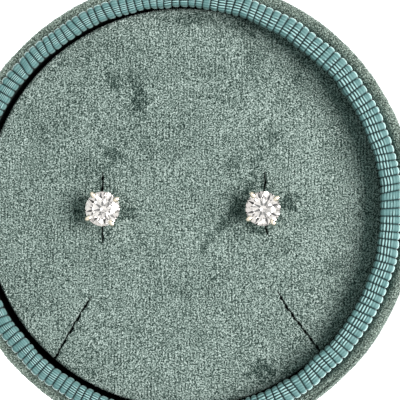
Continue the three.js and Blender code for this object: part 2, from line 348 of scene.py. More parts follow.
# ------------------------------------------------------------------ materials
def velvet_material(name, stops, grain, nap_and_shade=False, slit_shade=False):
    """Cut pile: dark between the tufts, pale on their tips, with the pile height as an attribute of the mesh."""
    m = Nodes(name)
    p = m.object_mm()
    fine = m.noise(p, 4.6, 0.0, 0.5)
    fibre = m.noise(p, 7.5, 0.0, 0.6)
    broad = m.noise(p, 0.16, 3.0, 0.55)
    pile = m.math("MULTIPLY", m.attr("pile"), grain)
    tone = m.math("ADD", pile, m.math("MULTIPLY_ADD", fine, 1.3, -0.65))
    tone = m.math("ADD", tone, m.math("MULTIPLY_ADD", fibre, 0.9, -0.45))
    tone = m.math("ADD", tone, m.math("MULTIPLY_ADD", broad, 0.2, 0.398))
    # painted shade: the patches of the nap-and-shade mask lower the tone and pull the colour towards dark teal
    if nap_and_shade:
        tone = m.math("SUBTRACT", tone, m.math("MULTIPLY", m.attr("nap_and_shade"), 0.33))
    color = m.ramp(tone, stops)
    if nap_and_shade:
        color = m.mix(m.math("MULTIPLY", m.attr("nap_and_shade"), 0.3), color, (0.03, 0.058, 0.05, 1))
    # painted shade: the deep core of each slit is coloured near-black
    if slit_shade:
        color = m.mix(m.attr("slit_shade"), color, (0.006, 0.009, 0.008, 1))
    height = m.math("ADD", m.math("MULTIPLY", fine, 0.7), m.math("MULTIPLY", fibre, 0.5))
    normal = m.bump(height, 0.00012, 0.8)
    m.principled(color, 0.92, normal, Sheen_Weight=0.28, Sheen_Roughness=0.45, Sheen_Tint=(0.72, 0.86, 0.8, 1), Specular_IOR_Level=0.12)
    return m.mat


PAD_STOPS = [
    (0.0, (0.004, 0.012, 0.01)),
    (0.25, (0.03, 0.055, 0.046)),
    (0.42, (0.125, 0.17, 0.15)),
    (0.56, (0.24, 0.3, 0.268)),
    (0.75, (0.42, 0.5, 0.46)),
    (1.0, (0.72, 0.8, 0.75)),
]
BOX_STOPS = [
    (0.0, (0.006, 0.011, 0.009)),
    (0.25, (0.035, 0.052, 0.042)),
    (0.44, (0.1, 0.128, 0.108)),
    (0.6, (0.175, 0.213, 0.182)),
    (0.78, (0.28, 0.33, 0.29)),
    (1.0, (0.5, 0.56, 0.5)),
]


def ribbon_material(v_out, v_crest, v_in):
    """Fine warp threads over padded ribs. UV is in mm: round the ring, and up and over its section."""
    m = Nodes("ribbon_teal")
    uv = m.new("ShaderNodeSeparateXYZ")
    m.nt.links.new(m.new("ShaderNodeTexCoord").outputs["UV"], uv.inputs[0])
    u, v = uv.outputs[0], uv.outputs[1]
    p = m.object_mm()
    wander = m.noise(p, 0.9, 2.0, 0.5)
    fibre = m.noise(p, 5.0, 2.0, 0.6)
    patch = m.noise(p, 0.33, 1.0, 0.5)
    rib = m.math("FLOOR", m.math("MULTIPLY", u, 1.0))
    each = m.new("ShaderNodeTexWhiteNoise", noise_dimensions="1D")
    m.put(rib, each.inputs["W"])
    one = each.outputs["Value"]
    # threads: fine lines along the ring, open over the crest where the ribbon bends, with painted highlights on their
    # crowns and painted shade in the gaps between them
    phase = m.math("ADD", m.math("MULTIPLY", v, TAU / 0.42), m.math("MULTIPLY", wander, 2.5))
    phase = m.math("ADD", phase, m.math("MULTIPLY", one, 2.4))
    thread = m.math("MULTIPLY_ADD", m.math("SINE", phase), 0.5, 0.5)
    at_crest = m.math("SUBTRACT", 1.0, m.step(m.math("ABSOLUTE", m.math("SUBTRACT", v, m.math("MULTIPLY_ADD", one, 0.45, v_crest - 0.45))), 0.45, 1.15))
    opened = m.math("MULTIPLY", at_crest, m.step(m.math("ADD", patch, m.math("MULTIPLY_ADD", one, 0.3, -0.15)), 0.2, 0.42))
    opened = m.math("MULTIPLY", opened, m.step(m.noise(p, 1.5, 0.0), 0.2, 0.38))
    opened = m.math("MAXIMUM", opened, 0.14)
    groove_shade = m.attr("groove_shade")
    base = m.mix(m.math("MULTIPLY", fibre, 0.8), (0.075, 0.19, 0.19, 1), (0.175, 0.335, 0.33, 1))
    base = m.mix(m.math("MULTIPLY", one, 0.3), base, (0.2, 0.34, 0.33, 1))
    # painted shade between the threads and painted highlights on their crowns
    thread_gap_shade = m.math("MULTIPLY", m.step(thread, 0.62, 0.32), opened)
    thread_crown_highlight = m.math("MULTIPLY", m.step(thread, 0.5, 0.85), opened)
    base = m.mix(m.math("MULTIPLY", thread_gap_shade, 0.97), base, (0.003, 0.02, 0.02, 1))
    base = m.mix(m.math("MULTIPLY", thread_crown_highlight, 0.7), base, (0.58, 0.88, 0.86, 1))
    # painted highlight along the ribbon's outer edge
    outer_edge_highlight = m.math("SUBTRACT", 1.0, m.step(m.math("ABSOLUTE", m.math("SUBTRACT", v, v_out)), 0.1, 0.34))
    base = m.mix(m.math("MULTIPLY", outer_edge_highlight, 0.65), base, (0.45, 0.63, 0.6, 1))
    # painted highlight on the rounded inner ends of the ribs at the lip
    tip = m.math("SUBTRACT", 1.0, m.step(m.math("ABSOLUTE", m.math("SUBTRACT", v, v_in)), 0.1, 0.5))
    base = m.mix(m.math("MULTIPLY", tip, 0.55), base, (0.34, 0.5, 0.48, 1))
    # painted shade in the grooves between the ribs
    base = m.mix(m.math("MULTIPLY", groove_shade, 1.0), base, (0.002, 0.016, 0.018, 1))
    # painted shade: the ribbon tucked under the lip is coloured near-black
    underside_shade = m.step(v, v_in + 0.7, v_in + 1.6)
    base = m.mix(underside_shade, base, (0.01, 0.016, 0.015, 1))
    height = m.math("ADD", m.math("MULTIPLY", thread, m.math("MULTIPLY_ADD", opened, 0.8, 0.2)), m.math("MULTIPLY", fibre, 0.5))
    normal = m.bump(height, 0.00006, 0.8)
    m.principled(base, 0.5, normal, Sheen_Weight=0.2, Sheen_Roughness=0.35, Sheen_Tint=(0.75, 0.95, 0.93, 1), Specular_IOR_Level=0.45)
    return m.mat


def near_black_wall_material():
    m = Nodes("near_black_wall")
    p = m.object_mm()
    weave = m.noise(p, 4.0, 2.0, 0.6)
    color = m.mix(weave, (0.008, 0.012, 0.011, 1), (0.03, 0.042, 0.038, 1))
    m.principled(color, 0.9, m.bump(weave, 0.00008, 0.6), Specular_IOR_Level=0.15)
    return m.mat


def gold_material():
    m = Nodes("gold_polished")
    p = m.object_mm()
    wear = m.noise(p, 1.6, 4.0, 0.6)
    brush = m.noise(p, 9.0, 2.0, 0.5)
    color = m.mix(wear, (0.84, 0.75, 0.57, 1), (0.95, 0.89, 0.76, 1))
    rough = m.math("MULTIPLY_ADD", wear, 0.14, 0.1)
    m.principled(color, rough, m.bump(brush, 0.00001, 0.25), Metallic=1.0)
    return m.mat


def stone_material():
    m = Nodes("brilliant")
    p = m.object_mm()
    tint = m.noise(p, 0.8, 1.0, 0.5)
    color = m.ramp(tint, [(0.35, (1.0, 0.945, 0.9)), (0.5, (1.0, 0.97, 0.9)), (0.65, (1.0, 0.965, 0.925))])
    m.principled(color, 0.0, None, Transmission_Weight=1.0, IOR=2.417)
    return m.mat


# ------------------------------------------------------------------ camera, at 4 degrees off straight down
def make_camera():
    scale = 0.167  # mm a pixel in the plane of the collar's top
    distance = 400.0
    tilt, towards = math.radians(4.0), math.radians(-20.0)
    target = Vector((3.333, 1.44, COLLAR_TOP))
    back = Vector((math.sin(tilt) * math.cos(towards), math.sin(tilt) * math.sin(towards), math.cos(tilt)))
    up = Vector((0, 1, 0))
    up = (up - back * up.dot(back)).normalized()
    right = up.cross(back)
    cam = bpy.data.cameras.new("camera")
    cam.sensor_width = 36
    cam.lens = 36 * distance / (scale * 400)
    cam.clip_start, cam.clip_end = 0.01, 20
    ob = bpy.data.objects.new("camera", cam)
    scene.collection.objects.link(ob)
    m = Matrix((right, up, back)).transposed().to_4x4()
    m.translation = (target + back * distance) * MM
    ob.matrix_world = m
    scene.camera = ob


make_camera()


# ------------------------------------------------------------------ pad
def slit_field(xy, z):
    """Moves the points near each slit: they fall into the cut or back to its lips. Returns xy, z and how deep in a slit each point is."""
    deep = np.zeros(len(xy))
    for s in SLITS:
        line = spline(s["path"], 24)
        seg = np.diff(line, axis=0)
        length = np.r_[0, np.cumsum(np.hypot(*seg.T))]
        lo, hi = line.min(0) - 1.5, line.max(0) + 1.5
        near = np.where(((xy > lo) & (xy < hi)).all(1))[0]
        p = xy[near]
        d2 = ((p[:, None, :] - line[None, :, :]) ** 2).sum(-1)
        k = np.clip(d2.argmin(1), 1, len(line) - 2)
        t = line[k + 1] - line[k - 1]
        t /= np.hypot(*t.T)[:, None]
        n = np.stack([-t[:, 1], t[:, 0]], 1)  # left of the way along the slit
        rel = p - line[k]
        along = length[k] + (rel * t).sum(1)
        off = (rel * n).sum(1) + 0.06 * np.sin(along * 2.7) + 0.04 * np.sin(along * 6.1 + 1)
        total = length[-1]
        inside = (along > -0.05) & (along < total + 0.05)
        post = np.abs(p[:, 1]) if "stud" in s["name"] else np.full(len(p), 9.0)
        half = s["open"] * np.clip(np.minimum(along, total - along) / 0.8, 0.35, 1)
        half = half * (1 + 0.28 * np.sin(along * 3.1 + p[:, 0]) + 0.2 * np.sin(along * 7.3 + 1.3))
        half = half + 0.32 * np.exp(-((post / 0.75) ** 2))
        a = np.abs(off)
        core = inside & (a < np.maximum(0.105, half * 0.85))
        beside = inside & ~core & (a < 0.85)
        side = np.where(off >= 0, 1.0, -1.0)
        moved = np.where(a < 0.29, half + 0.02, half + 0.02 + (a - 0.29) * (0.85 - half - 0.02) / 0.56)
        moved = np.maximum(moved, half)
        shift = np.where(core, -off * np.where(half > 0.2, 0.0, 1.0), np.where(beside, side * moved - off, 0.0))
        new = p + n * shift[:, None]
        lift = np.where(off >= 0, s["lift"][0], s["lift"][1]) * np.exp(-(((a - 0.15) / 0.3) ** 2))
        fade = smoothstep(0, 0.6, along) * smoothstep(0, 0.6, total - along)
        dz = np.where(core, -1.5, np.where(beside, lift * fade, 0.0))
        # the ground beside the cut is drawn down a little
        dz = dz - np.where(core, 0.0, 0.05 * np.exp(-((a / 0.8) ** 2)) * fade * inside)
        xy[near] = new
        z[near] += dz
        deep[near] = np.maximum(deep[near], core.astype(float))
    return xy, z, deep


def nap_and_shade_field(xy, wobble):
    out = np.zeros(len(xy))
    for s in NAP_AND_SHADE:
        c, q = math.cos(math.radians(s["deg"])), math.sin(math.radians(s["deg"]))
        dx, dy = xy[:, 0] - s["x"] + 0.16, xy[:, 1] - s["y"] - 0.16
        a, b = (dx * c + dy * q) / s["rx"], (-dx * q + dy * c) / s["ry"]
        r = np.sqrt(a * a + b * b) + wobble * 0.22
        out = 1 - (1 - out) * (1 - s["dark"] * (1 - smoothstep(0.35, 1.35, r)))
    return out


def make_pad():
    flat_r = PAD_R - PAD_EDGE
    n = 157
    pts, start = [np.zeros((1, 2))], [0]
    total = 1
    for k in range(1, n + 1):
        a = np.arange(6 * k) * TAU / (6 * k)
        pts.append(np.stack([np.cos(a), np.sin(a)], 1) * flat_r * k / n)
        start.append(total)
        total += 6 * k
    xy = np.vstack(pts)
    faces = []
    for k in range(1, n + 1):
        s = np.repeat(np.arange(6), k)
        j = np.tile(np.arange(k), 6)
        outer, inner = start[k], start[k - 1]
        no, ni = 6 * k, max(6 * (k - 1), 1)
        faces.append(np.stack([inner + (s * (k - 1) + j) % ni, outer + (s * k + j) % no, outer + (s * k + j + 1) % no], 1))
        if k > 1:
            s = np.repeat(np.arange(6), k - 1)
            j = np.tile(np.arange(k - 1), 6)
            faces.append(np.stack([inner + (s * (k - 1) + j) % ni, outer + (s * k + j + 1) % no, inner + (s * (k - 1) + j + 1) % ni], 1))
    # the rolled edge and the side, then the hidden inside of the skirt
    rows = [(flat_r + PAD_EDGE * math.sin(a), PAD_TOP - PAD_EDGE + PAD_EDGE * math.cos(a), math.sin(a), math.cos(a)) for a in np.linspace(0, math.pi / 2, 7)[1:]]
    rows += [(PAD_R, PAD_TOP - PAD_EDGE - d, 1.0, 0.0) for d in (0.25, 0.5, 0.8, 1.2, 1.8, 2.6, 5.0)]
    rows += [(PAD_R, PAD_FOOT, 0, 0), (PAD_SKIRT_R, PAD_FOOT, 0, 0), (PAD_SKIRT_R, PAD_TOP - PAD_THICK, 0, 0)]
    cols = 6 * n
    a = np.arange(cols) * TAU / cols
    ring = np.stack([np.cos(a), np.sin(a)], 1)
    side_xy = np.vstack([ring * r for r, *_ in rows])
    side_z = np.repeat([r[1] for r in rows], cols)
    normal = np.repeat([[r[2], r[3]] for r in rows], cols, axis=0)
    last = start[n] + np.arange(cols)
    grid = np.vstack([last, total + np.arange(len(rows) * cols).reshape(len(rows), cols)])
    k = (np.arange(cols) + 1) % cols
    for i in range(len(rows)):
        lo, up = grid[i + 1], grid[i]
        faces.append(np.stack([lo, lo[k], up[k]], 1))
        faces.append(np.stack([lo, up[k], up], 1))
    tip = total + len(rows) * cols
    faces.append(np.stack([np.full(cols, tip), grid[-1][k], grid[-1]], 1))
    faces = np.vstack(faces)

    # pile height over the whole skin, and broad unevenness of the card under it
    step = 0.1
    tufts = band_noise((800, 800), step, 0.47, 0.18, 3)
    knots = band_noise((800, 800), step, 0.42, 0.16, 4)
    clumps = band_noise((800, 800), step, 1.7, 0.4, 5)
    swell = band_noise((800, 800), step, 13.0, 0.5, 6)
    fx = np.fft.fftfreq(800, step)[:, None]
    fy = np.fft.fftfreq(800, step)[None, :]
    rows_gain = np.exp(-((np.abs(fx) - 1 / 0.54) ** 2 + fy**2 * 3.0) / 0.12) + 0.5 * np.exp(-((np.abs(fx) - 1 / 0.95) ** 2 + fy**2 * 4.0) / 0.06)
    knit = np.fft.ifft2(np.fft.fft2(np.random.default_rng(8).standard_normal((800, 800))) * rows_gain).real
    knit /= knit.std()

    def at(field, x, y):
        return sample(field, (x + 40) / step, (y + 40) / step)

    top_n = total
    z = np.full(top_n, PAD_TOP)
    x, y = xy[:, 0] + PAD_C[0], xy[:, 1] + PAD_C[1]
    world = np.stack([x, y], 1)
    pile = 0.85 * at(tufts, x, y) + 0.5 * at(knots, x, y) + 0.08 * at(clumps, x, y) + 0.6 * at(knit, x, y)
    # real nap patches together with painted shadows round the studs and along the rim
    nap_and_shade = nap_and_shade_field(world, at(clumps, x, y))
    z = z - 0.1 + 0.06 * pile + 0.05 * at(swell, x, y) - 0.09 * nap_and_shade
    world, z, deep = slit_field(world, z)
    # the velvet is pressed down round each basket
    for sx, sy in STUD_AT:
        r = np.hypot(world[:, 0] - sx, world[:, 1] - sy)
        z -= 0.16 * np.exp(-((r / 2.6) ** 2)) * (1 - deep)

    sx, sy = side_xy[:, 0] + PAD_C[0], side_xy[:, 1] + PAD_C[1]
    ang = np.arctan2(side_xy[:, 1], side_xy[:, 0])
    arc_u = ang * PAD_R
    side_pile = 0.9 * sample(tufts, arc_u / step, (side_z * 1.3 + np.hypot(*side_xy.T)) / step)
    live = np.hypot(normal[:, 0], normal[:, 1])
    lift = (0.055 * side_pile - 0.1) * live
    radial = side_xy / np.hypot(*side_xy.T)[:, None]
    side_xy = np.column_stack([sx + radial[:, 0] * normal[:, 0] * lift, sy + radial[:, 1] * normal[:, 0] * lift])
    side_z = side_z + normal[:, 1] * lift
    rolled = 6 * cols
    side_xy[:rolled], side_z[:rolled], side_deep = slit_field(side_xy[:rolled], side_z[:rolled])
    side = np.column_stack([side_xy, side_z])
    verts = np.vstack([np.column_stack([world, z]), side, [[PAD_C[0], PAD_C[1], PAD_TOP - PAD_THICK]]])
    ob = mesh_object("pad_velvet", verts, faces)
    attribute(ob, "pile", np.r_[pile, side_pile, 0])
    attribute(ob, "nap_and_shade", np.r_[nap_and_shade, np.zeros(len(side) + 1)])
    attribute(ob, "slit_shade", np.r_[deep, side_deep, np.zeros(len(side) - rolled + 1)])
    ob.data.materials.append(velvet_material("velvet_pad", PAD_STOPS, 0.095, nap_and_shade=True, slit_shade=True))
    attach(ob, "root")
    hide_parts("pad")
    return ob


# ------------------------------------------------------------------ box base
def section(points):
    """Running length, and outward normals, of an open (r, z) line that goes up the outside."""
    p = np.array(points)
    d = np.gradient(p, axis=0)
    d /= np.hypot(*d.T)[:, None]
    length = np.r_[0, np.cumsum(np.hypot(*np.diff(p, axis=0).T))]
    return p, np.stack([d[:, 1], -d[:, 0]], 1), length


def make_base():
    inner = BASE_R - BASE_WALL
    mid, half = BASE_R - BASE_WALL / 2, BASE_WALL / 2
    pts = [(r, 0.0) for r in (0.01, 12.0, 24.0, 33.0, 36.5)]
    pts += [(BASE_R - FOOT_R + FOOT_R * math.cos(a), FOOT_R + FOOT_R * math.sin(a)) for a in np.linspace(-math.pi / 2, 0, 6)]
    pts += [(BASE_R, z) for z in np.linspace(FOOT_R, BASE_RIM - RIM_RISE, 52)[1:-1]]
    pts += [(mid + half * math.cos(a), BASE_RIM - RIM_RISE + RIM_RISE * math.sin(a)) for a in np.linspace(0, math.pi, 20)]
    live_to = len(pts)
    pts += [(inner, z) for z in (18.2, 17.6, 16.5, FLOOR)]
    pts += [(20.0, FLOOR), (0.01, FLOOR)]
    p, normal, length = section(pts)
    cols = 1120
    a = np.arange(cols) * TAU / cols
    shape = (2560, 640)
    step = 0.1
    # the tile's long side goes once round the box, so the pile meets itself
    tufts = band_noise(shape, step, 0.55, 0.25, 11)
    knots = band_noise(shape, step, 0.4, 0.22, 12)
    clumps = band_noise(shape, step, 2.2, 0.5, 13)
    u = np.broadcast_to(a / TAU * shape[0], (len(p), cols))
    v = np.broadcast_to((length / step)[:, None], (len(p), cols))
    pile = 0.85 * sample(tufts, u, v) + 0.5 * sample(knots, u, v) + 0.2 * sample(clumps, u, v)
    swell = sample(band_noise((256, 64), 1.0, 16.0, 0.5, 14), u / 10, v / 10)
    # the cloth's butt joint runs up the back
    along = np.abs((a - math.pi / 2 + math.pi) % TAU - math.pi) * BASE_R
    seam = np.exp(-((along / 0.16) ** 2))
    live = np.zeros(len(p))
    live[8:live_to] = 1
    live[5:8] = 0.4
    # a crease in the cloth along the rim's outer shoulder, on one side only: it dips the surface, and painted shade
    # darkens its colour
    shoulder = int(np.argmin(np.hypot(p[:, 0] - (BASE_R - 0.62), p[:, 1] - (BASE_RIM - 0.15))))
    away = (a - math.radians(-54) + math.pi) % TAU - math.pi
    crease_fold_and_shade = np.exp(-(((length - length[shoulder]) / 0.16) ** 2))[:, None] * np.exp(-((away / 0.24) ** 4))[None, :]
    lift = (0.06 * pile - 0.1 + 0.035 * swell - 0.22 * seam[None, :] - 0.3 * crease_fold_and_shade) * live[:, None]
    r = p[:, 0][:, None] + normal[:, 0][:, None] * lift
    z = p[:, 1][:, None] + normal[:, 1][:, None] * lift
    z = np.maximum(z, 0.0)  # it stands flat
    verts = np.column_stack([(r * np.cos(a)).ravel(), (r * np.sin(a)).ravel(), z.ravel()])
    ob = mesh_object("base_velvet", verts, ring_faces(len(p), cols))
    # painted shade: the crease lowers the pile tone; the seam darkens it as a dark joint
    attribute(ob, "pile", (pile - 1.8 * seam[None, :] - 3.5 * crease_fold_and_shade).ravel())
    ob.data.materials.append(velvet_material("velvet_box", BOX_STOPS, 0.1))
    bm = bmesh.new()
    bm.from_mesh(ob.data)
    bmesh.ops.remove_doubles(bm, verts=[x for x in bm.verts if math.hypot(x.co.x, x.co.y) < 0.0001], dist=0.0002)
    bm.to_mesh(ob.data)
    bm.free()
    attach(ob, "root")
    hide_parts("box_base")
    return ob


# ------------------------------------------------------------------ collar
def make_collar():
    swellr = 0.12  # the ribs stand this far out of the section
    mid, half = (COLLAR_R + LIP_R) / 2, (COLLAR_R - LIP_R) / 2
    out_r, in_r = COLLAR_R - swellr, LIP_R + swellr
    hw = (out_r - in_r) / 2
    top = COLLAR_TOP - swellr * 0.8
    spring = top - CROWN
    pts = [(out_r, z) for z in np.linspace(18.6, spring, 13)[:-1]]
    pts += [(mid + hw * math.copysign(abs(math.cos(a)) ** 0.4, math.cos(a)), spring + CROWN * math.sin(a) ** 0.5) for a in np.linspace(0.0001, math.pi - 0.0001, 20)]
    lip_from = len(pts)
    pts += [(in_r, z) for z in np.linspace(spring, LIP_Z + 0.45, 6)[1:]]
    pts += [(in_r + 0.1, LIP_Z + 0.2), (in_r + 0.4, LIP_Z + 0.1)]
    live_to = len(pts)
    pts += [(35.4, LIP_Z + 0.3), (36.1, LIP_Z + 0.3), (36.1, 18.6)]
    p, normal, length = section(pts)
    t = np.array([0, 0.035, 0.08, 0.16, 0.28, 0.42, 0.58, 0.72, 0.84, 0.92, 0.965])
    per = len(t)
    cols = RIBS * per
    rng = np.random.default_rng(21)
    # ribs of slightly uneven width
    width = 1 + 0.07 * rng.standard_normal(RIBS)
    edge = np.r_[0, np.cumsum(width)]
    edge *= TAU / edge[-1]
    a = (edge[:-1, None] + (edge[1:] - edge[:-1])[:, None] * t[None, :]).ravel()
    rib = np.repeat(np.arange(RIBS), per)
    phase = np.tile(t, RIBS)
    bulge = 1 - np.abs(2 * phase - 1) ** 6
    round_end = 1 - np.abs(2 * phase - 1) ** 2.6
    high = (1 + 0.13 * rng.standard_normal(RIBS))[rib]
    wave = sample(band_noise((256, 8), 1.0, 14.0, 0.45, 22), a / TAU * 256, np.zeros(cols))
    ripple = sample(band_noise((256, 8), 1.0, 5.0, 0.35, 23), a / TAU * 256, np.zeros(cols))
    live = np.zeros(len(p))
    live[:live_to] = 1
    live[live_to - 1] = 0.5
    thread = 0.5 + 0.5 * np.sin(length * TAU / 0.42)
    crest_v = length[12 + 10]
    open_ = np.exp(-(((length - crest_v) / 0.75) ** 2))
    lift = (2 * swellr * bulge * high - swellr)[None, :] * live[:, None]
    # each rib's end is drawn in a little at the lip, so the inner edge is scalloped
    near_lip = np.exp(-(((length - length[lip_from + 2]) / 0.9) ** 2))
    near_out = np.exp(-(((length - length[13]) / 0.9) ** 2))
    lift = lift + (0.21 * (round_end - 0.72))[None, :] * (near_lip + near_out)[:, None]
    lift = lift + (0.12 * (p[:, 0] > mid + half * 0.7) * smoothstep(20.3, 21.5, p[:, 1]))[:, None]
    lift = lift + (0.03 * (thread - 0.5) * open_)[:, None]
    r = p[:, 0][:, None] + normal[:, 0][:, None] * lift
    z = p[:, 1][:, None] + normal[:, 1][:, None] * lift
    # the ring isn't quite true, and its lip ruffles
    pulled = 0.36 * np.exp(-(((a - math.radians(52)) / 0.5) ** 2))
    r = r + (0.42 * np.cos(a - math.radians(160)) + 0.08 - pulled)[None, :] * (smoothstep(mid + half * 0.2, LIP_R + 0.3, p[:, 0]) * live)[:, None]
    r = r + (0.07 * wave[None, :] + (0.05 * ripple)[None, :] * near_lip[:, None]) * live[:, None]
    z = z + (0.05 * ripple * 0.6)[None, :] * live[:, None] * (p[:, 1] > 22)[:, None]
    lean = 0.004 * sample(band_noise((256, 8), 1.0, 9.0, 0.5, 24), a / TAU * 256, np.zeros(cols))
    aa = a[None, :] + lean[None, :] * ((p[:, 0] - mid) / half)[:, None]
    verts = np.column_stack([(r * np.cos(aa)).ravel(), (r * np.sin(aa)).ravel(), z.ravel()])
    rows = len(p)
    i = np.arange(rows)[:, None] * cols
    i2 = ((np.arange(rows) + 1) % rows)[:, None] * cols
    j = np.arange(cols)[None, :]
    k = (j + 1) % cols
    faces = np.stack([i + j, i + k, i2 + k, i2 + j], -1).reshape(-1, 4)
    ob = mesh_object("collar_ribbon", verts, faces)
    # UV: ribs counted round the ring, and mm up and over the section
    u_at = rib + phase
    fu0 = np.broadcast_to(u_at[None, :], (rows, cols))
    fu1 = np.where((np.arange(cols) == cols - 1)[None, :], RIBS, np.roll(u_at, -1)[None, :]) * np.ones((rows, 1))
    v0 = np.broadcast_to(length[:, None], (rows, cols))
    v1 = np.broadcast_to(np.r_[length[1:], length[-1] + 1][:, None], (rows, cols))
    uv = np.stack([fu0, v0, fu1, v0, fu1, v1, fu0, v1], -1).reshape(-1).astype(np.float32)
    layer = ob.data.uv_layers.new(name="UVMap")
    layer.data.foreach_set("uv", uv)
    # mask of the grooves between the ribs, used for painted shade
    groove_shade = np.exp(-((np.minimum(phase, 1 - phase) / 0.1) ** 2))
    attribute(ob, "groove_shade", np.tile(groove_shade, rows) * np.repeat(live, cols))
    ob.data.materials.append(ribbon_material(float(length[12 + 2]), float(crest_v), float(length[lip_from])))
    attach(ob, "root")
    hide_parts("collar")

    # the plain wall that the ribbon is wrapped on, coloured near-black so the crevice between the pad and the collar
    # reads black
    wall = [(36.35, COLLAR_FOOT), (36.35, 18.4), (36.0, 18.5), (36.0, LIP_Z - 0.05), (COLLAR_WALL_R, LIP_Z - 0.05)]
    wall += [(COLLAR_WALL_R, z) for z in np.linspace(LIP_Z - 0.3, COLLAR_FOOT, 8)]
    p = np.array(wall)
    cols = 360
    a = np.arange(cols) * TAU / cols
    verts = np.column_stack([(p[:, :1] * np.cos(a)).ravel(), (p[:, :1] * np.sin(a)).ravel(), np.repeat(p[:, 1], cols)])
    rows = len(p)
    i = np.arange(rows)[:, None] * cols
    i2 = ((np.arange(rows) + 1) % rows)[:, None] * cols
    j = np.arange(cols)[None, :]
    k = (j + 1) % cols
    ob = mesh_object("collar_wall", verts, np.stack([i + j, i + k, i2 + k, i2 + j], -1).reshape(-1, 4), smooth=False)
    ob.data.materials.append(near_black_wall_material())
    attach(ob, "root")


# ------------------------------------------------------------------ studs
STUD_AT = []
for side in ("left", "right"):
    lo, hi = mm_box(f"stud_{side}_stone")
    STUD_AT.append(((lo[0] + hi[0]) / 2, (lo[1] + hi[1]) / 2))

PRONG_DEG = {"left": 33.6, "right": 36.4}
PRONG = [
    {"r": 0.55, "z": 21.72, "wire": 0.34},
    {"r": 1.25, "z": 22.4, "wire": 0.34},
    {"r": 1.98, "z": 23.28, "wire": 0.33},
    {"r": 2.66, "z": 24.1, "wire": 0.34},
    {"r": 2.98, "z": 24.6, "wire": 0.37},
    {"r": 3.0, "z": 24.98, "wire": 0.38},
    {"r": 2.86, "z": 25.1, "wire": 0.36},
]


def tube(route, radii, sides=20):
    """A tube with round ends in mm: vertices and triangles."""
    route, radii = np.array(route, float), np.array(radii, float)
    t = np.gradient(route, axis=0)
    t /= np.linalg.norm(t, axis=1)[:, None]
    cap = np.linspace(0, 1, 5)[1:] * math.pi / 2
    head = [(route[0] - t[0] * radii[0] * math.cos(c), radii[0] * math.sin(c), t[0]) for c in cap[:-1]]
    body = [(route[i], radii[i], t[i]) for i in range(len(route))]
    tail = [(route[-1] + t[-1] * radii[-1] * math.cos(c), radii[-1] * math.sin(c), t[-1]) for c in cap[:-1][::-1]]
    rings = head + body + tail
    verts = []
    ref = np.array([0.0, 0.0, 1.0]) if abs(t[0][2]) < 0.9 else np.array([1.0, 0.0, 0.0])
    for centre, radius, axis in rings:
        e1 = ref - axis * ref.dot(axis)
        e1 /= np.linalg.norm(e1)
        e2 = np.cross(axis, e1)
        a = np.arange(sides) * TAU / sides
        verts.append(centre + radius * (np.cos(a)[:, None] * e1 + np.sin(a)[:, None] * e2))
        ref = e1
    n = len(verts)
    verts = np.vstack([*verts, route[0] - t[0] * radii[0], route[-1] + t[-1] * radii[-1]])
    j = np.arange(sides)
    k = (j + 1) % sides
    tri = []
    for i in range(n - 1):
        lo, hi = i * sides, (i + 1) * sides
        tri += [np.stack([lo + j, lo + k, hi + k], 1), np.stack([lo + j, hi + k, hi + j], 1)]
    tri.append(np.stack([np.full(sides, n * sides), k, j], 1))
    tri.append(np.stack([np.full(sides, n * sides + 1), (n - 1) * sides + j, (n - 1) * sides + k], 1))
    return verts, np.vstack(tri)


def ellipsoid(centre, radii, turn, lat=16, lon=24):
    th = np.linspace(0, math.pi, lat + 1)[1:-1]
    a = np.arange(lon) * TAU / lon
    v = np.array([(math.sin(t) * math.cos(x), math.sin(t) * math.sin(x), math.cos(t)) for t in th for x in a] + [(0, 0, 1), (0, 0, -1)])
    v = v * np.array(radii)
    c, s = math.cos(turn), math.sin(turn)
    v = v @ np.array([[c, s, 0], [-s, c, 0], [0, 0, 1]]) + np.array(centre)
    j = np.arange(lon)
    k = (j + 1) % lon
    tri = []
    rows = lat - 1
    for i in range(rows - 1):
        up, lo = i * lon, (i + 1) * lon
        tri += [np.stack([up + j, lo + j, lo + k], 1), np.stack([up + j, lo + k, up + k], 1)]
    tri.append(np.stack([np.full(lon, rows * lon), j, k], 1))
    tri.append(np.stack([np.full(lon, rows * lon + 1), (rows - 1) * lon + k, (rows - 1) * lon + j], 1))
    return v, np.vstack(tri)


def lathe(profile, sides=40):
    """A closed turned solid in mm: its profile starts and ends on the axis, going up the outside."""
    p = np.array(profile, float)
    a = np.arange(sides) * TAU / sides
    inner = p[1:-1]
    v = np.vstack([np.column_stack([r * np.cos(a), r * np.sin(a), np.full(sides, z)]) for r, z in inner] + [[[0, 0, p[0][1]]], [[0, 0, p[-1][1]]]])
    j = np.arange(sides)
    k = (j + 1) % sides
    rows = len(inner)
    tri = []
    for i in range(rows - 1):
        lo, hi = i * sides, (i + 1) * sides
        tri += [np.stack([lo + j, lo + k, hi + k], 1), np.stack([lo + j, hi + k, hi + j], 1)]
    tri.append(np.stack([np.full(sides, rows * sides), k, j], 1))
    tri.append(np.stack([np.full(sides, rows * sides + 1), (rows - 1) * sides + j, (rows - 1) * sides + k], 1))
    return v, np.vstack(tri)


def applied(ob):
    """The object's mesh with its modifiers applied, in place."""
    dg = bpy.context.evaluated_depsgraph_get()
    me = bpy.data.meshes.new_from_object(ob.evaluated_get(dg))
    old = ob.data
    ob.modifiers.clear()
    ob.data = me
    bpy.data.meshes.remove(old)


